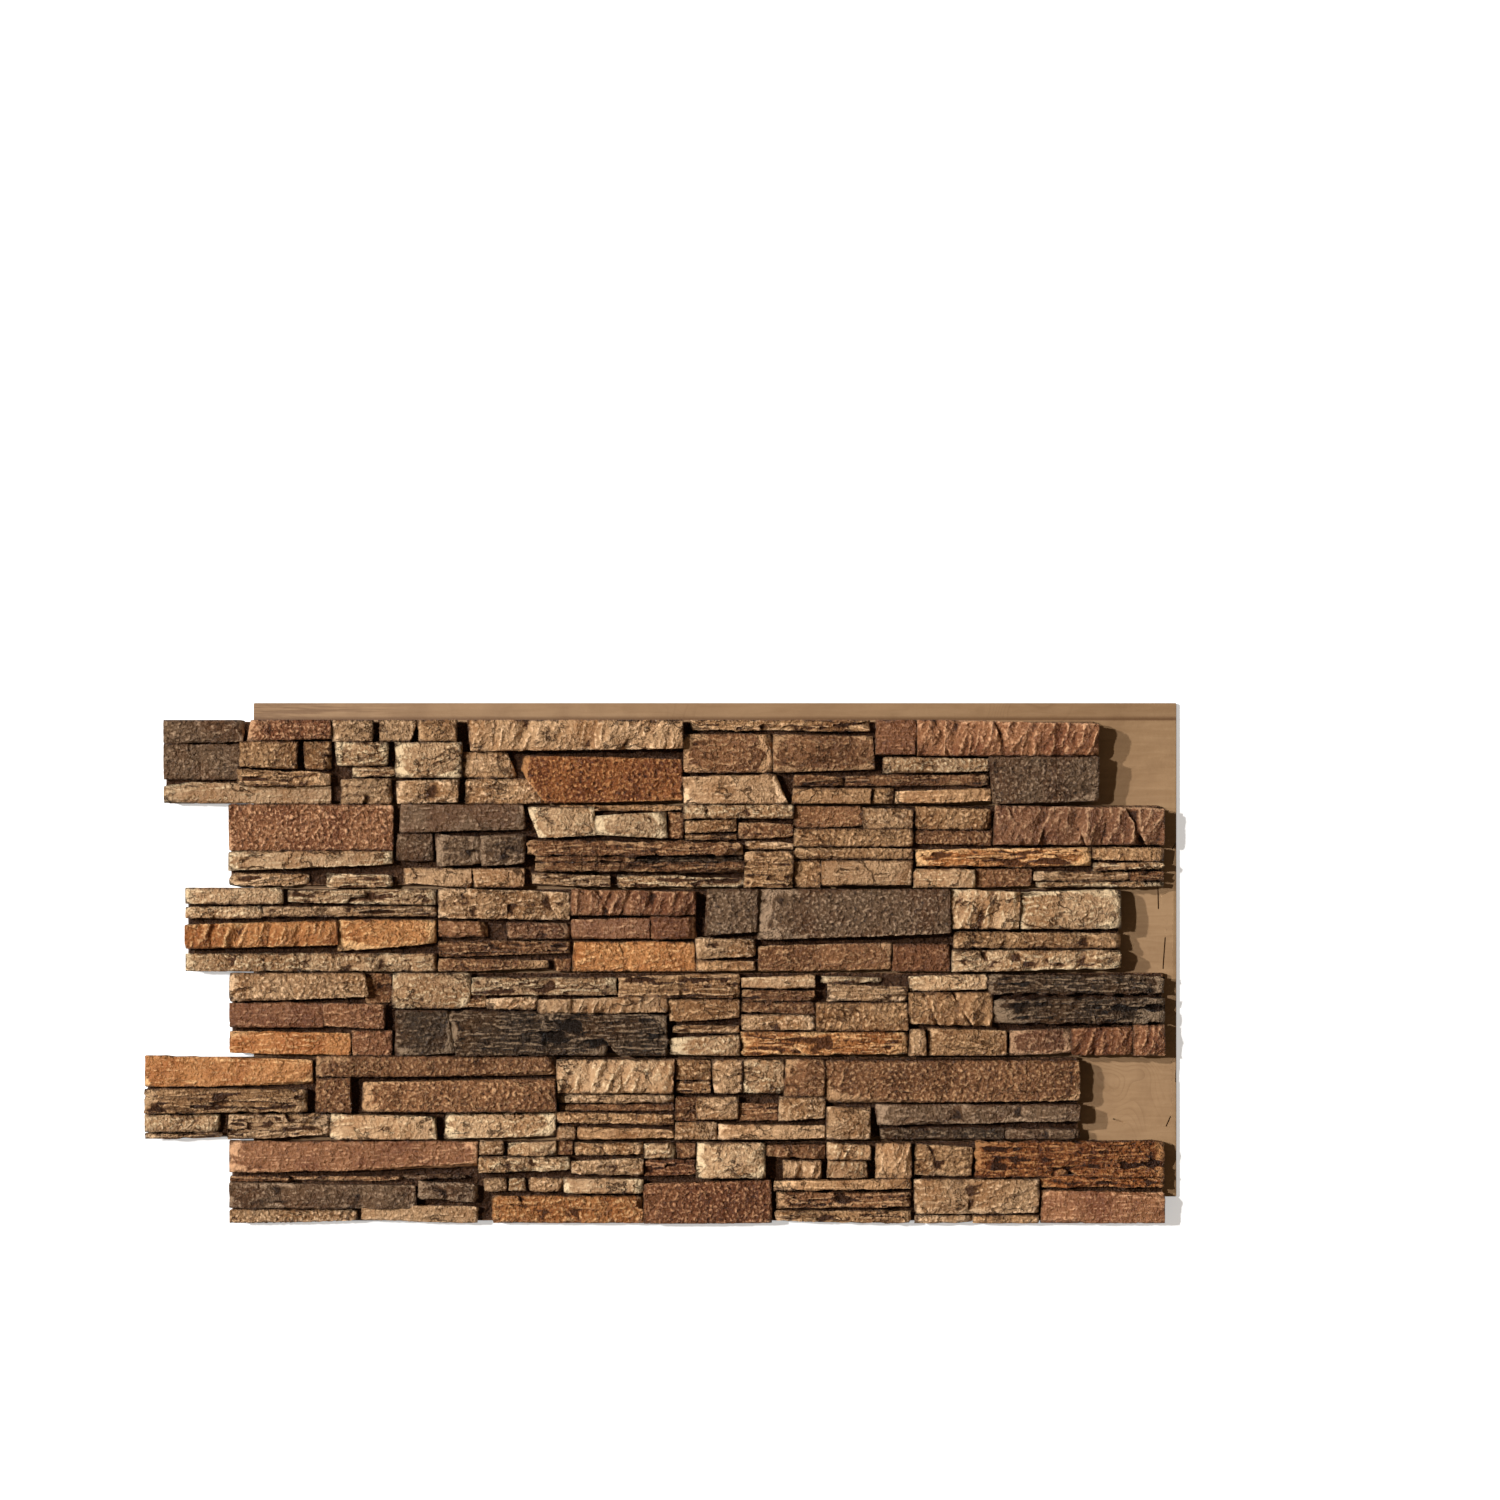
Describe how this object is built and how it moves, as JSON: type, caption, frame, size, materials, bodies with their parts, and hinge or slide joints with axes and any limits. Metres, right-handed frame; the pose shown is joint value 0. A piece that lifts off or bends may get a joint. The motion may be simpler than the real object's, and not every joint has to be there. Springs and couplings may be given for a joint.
{
  "type": "faux stone wall panel",
  "caption": "Interlocking wall panel moulded with staggered courses of split ledgestone blocks, with lap flanges along its top and right edges.",
  "frame": {"origin": "under the middle of the panel's box, on the plane of its flat back", "axes": "+X along the courses to the right flange, +Y up the wall to the top flange, +Z out of the wall towards the stone face; the panel is stored lying on its back"},
  "size_m": [1.219, 0.614, 0.0511],
  "materials": {
    "moulded_stone_face": "moulded rigid foam with a matte hand-painted stone finish"
  },
  "bodies": {
    "root": {"panel": "moulded_stone_face"}
  },
  "joints": []
}
